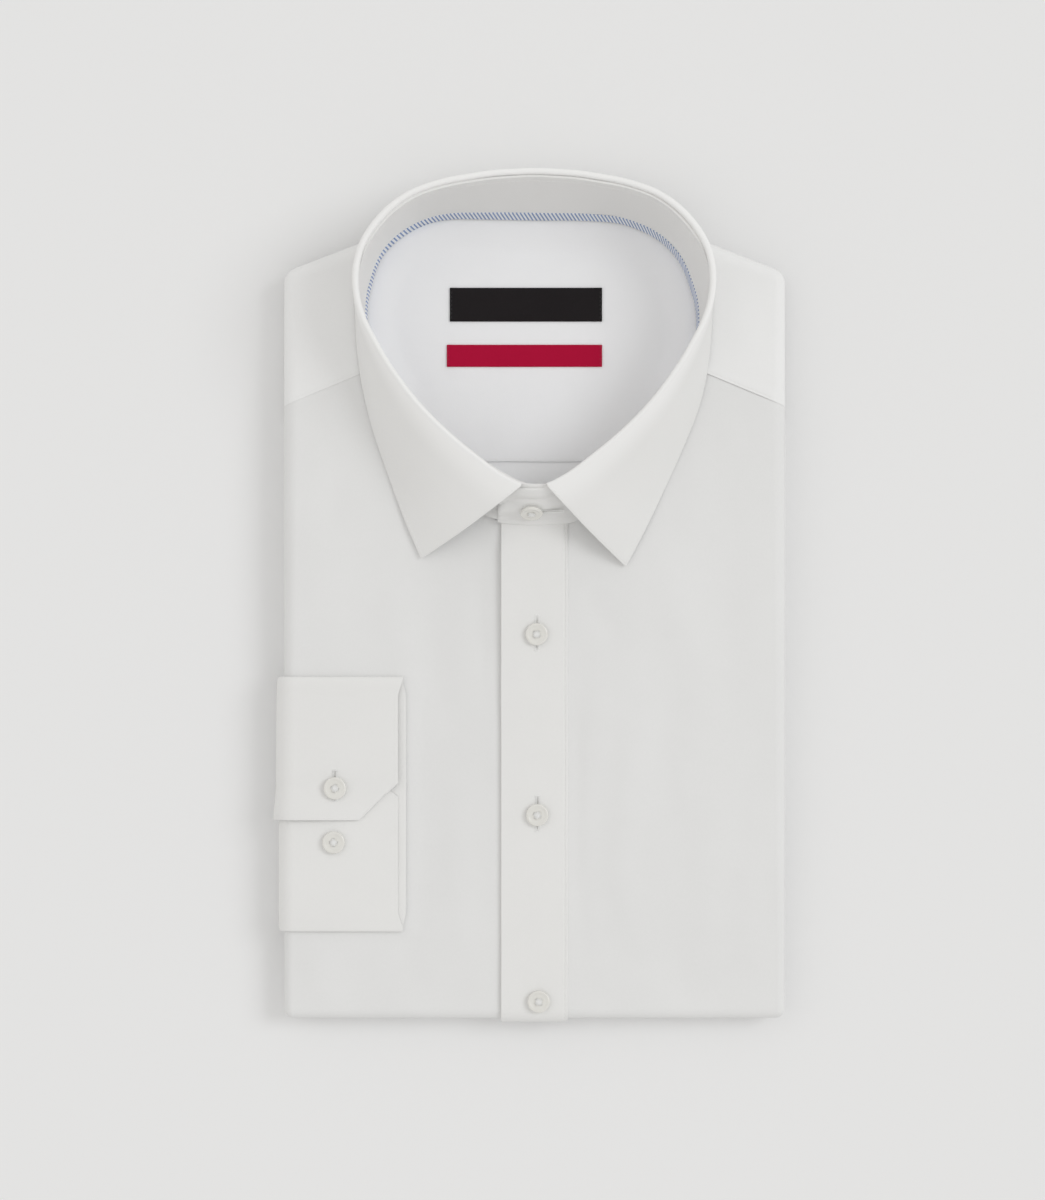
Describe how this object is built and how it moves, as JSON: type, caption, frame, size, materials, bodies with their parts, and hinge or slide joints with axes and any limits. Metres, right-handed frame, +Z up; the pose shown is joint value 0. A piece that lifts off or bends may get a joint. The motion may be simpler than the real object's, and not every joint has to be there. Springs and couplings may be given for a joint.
{
  "type": "folded poplin dress shirt",
  "caption": "Long-sleeved poplin dress shirt, folded face up as sold, collar standing, one cuff laid across the front.",
  "frame": {"origin": "middle of the flat underside of the folded shirt, under the middle of its bounding box", "axes": "+X to the wearer's left, +Y from the hem fold to the collar, +Z up from the surface it lies on"},
  "size_m": [0.235, 0.3908, 0.053],
  "materials": {
    "poplin": "crisp white cotton poplin, fine plain weave, faint sheen",
    "neck_tape": "woven tape with fine diagonal blue and white stripes",
    "label_dark": "black woven satin label, blank",
    "label_red": "crimson woven satin label, blank",
    "button": "pearly white polyester, glossy, slightly translucent"
  },
  "bodies": {
    "root": {"folded_layers": "poplin", "yoke_facing": "poplin", "back_panel": "poplin", "yoke": "poplin", "front_left": "poplin", "front_right": "poplin", "placket": "poplin", "collar_stand": "poplin", "collar_leaf": "poplin", "cuff": "poplin", "sleeve": "poplin", "neck_tape": "neck_tape", "label_dark": "label_dark", "label_red": "label_red", "collar_button": "button", "front_button_1": "button", "front_button_2": "button", "front_button_3": "button", "cuff_button_1": "button", "cuff_button_2": "button"}
  },
  "joints": []
}
